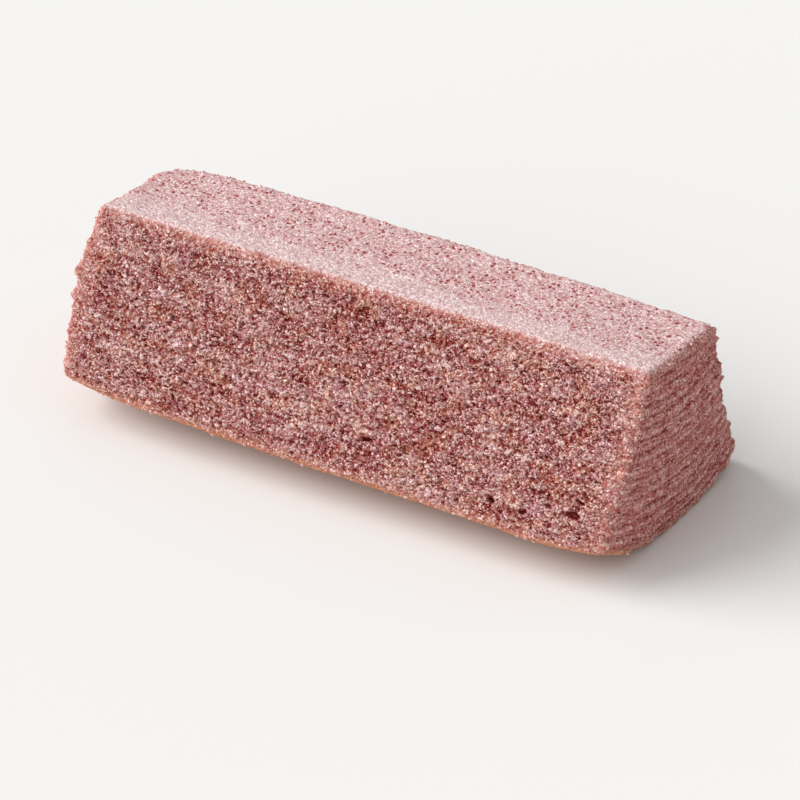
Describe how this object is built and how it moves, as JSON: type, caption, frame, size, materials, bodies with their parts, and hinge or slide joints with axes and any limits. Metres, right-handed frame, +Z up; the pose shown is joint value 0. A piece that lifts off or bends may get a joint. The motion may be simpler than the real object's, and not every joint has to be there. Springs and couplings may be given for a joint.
{
  "type": "baumkuchen bar",
  "caption": "Bar of layered ring cake with a narrow arched top, two porous cut sides that spread downwards and a rounded browned underside it lies on.",
  "frame": {"origin": "on the surface the bar lies on, under the middle of its box", "axes": "+X along the bar, -Y out of the wider cut side, +Z up"},
  "size_m": [0.1228, 0.0528, 0.0386],
  "materials": {
    "sponge": "matte, porous pink-brown layered sponge with a thin browned skin underneath"
  },
  "bodies": {
    "root": {"sponge_bar": "sponge"}
  },
  "joints": []
}
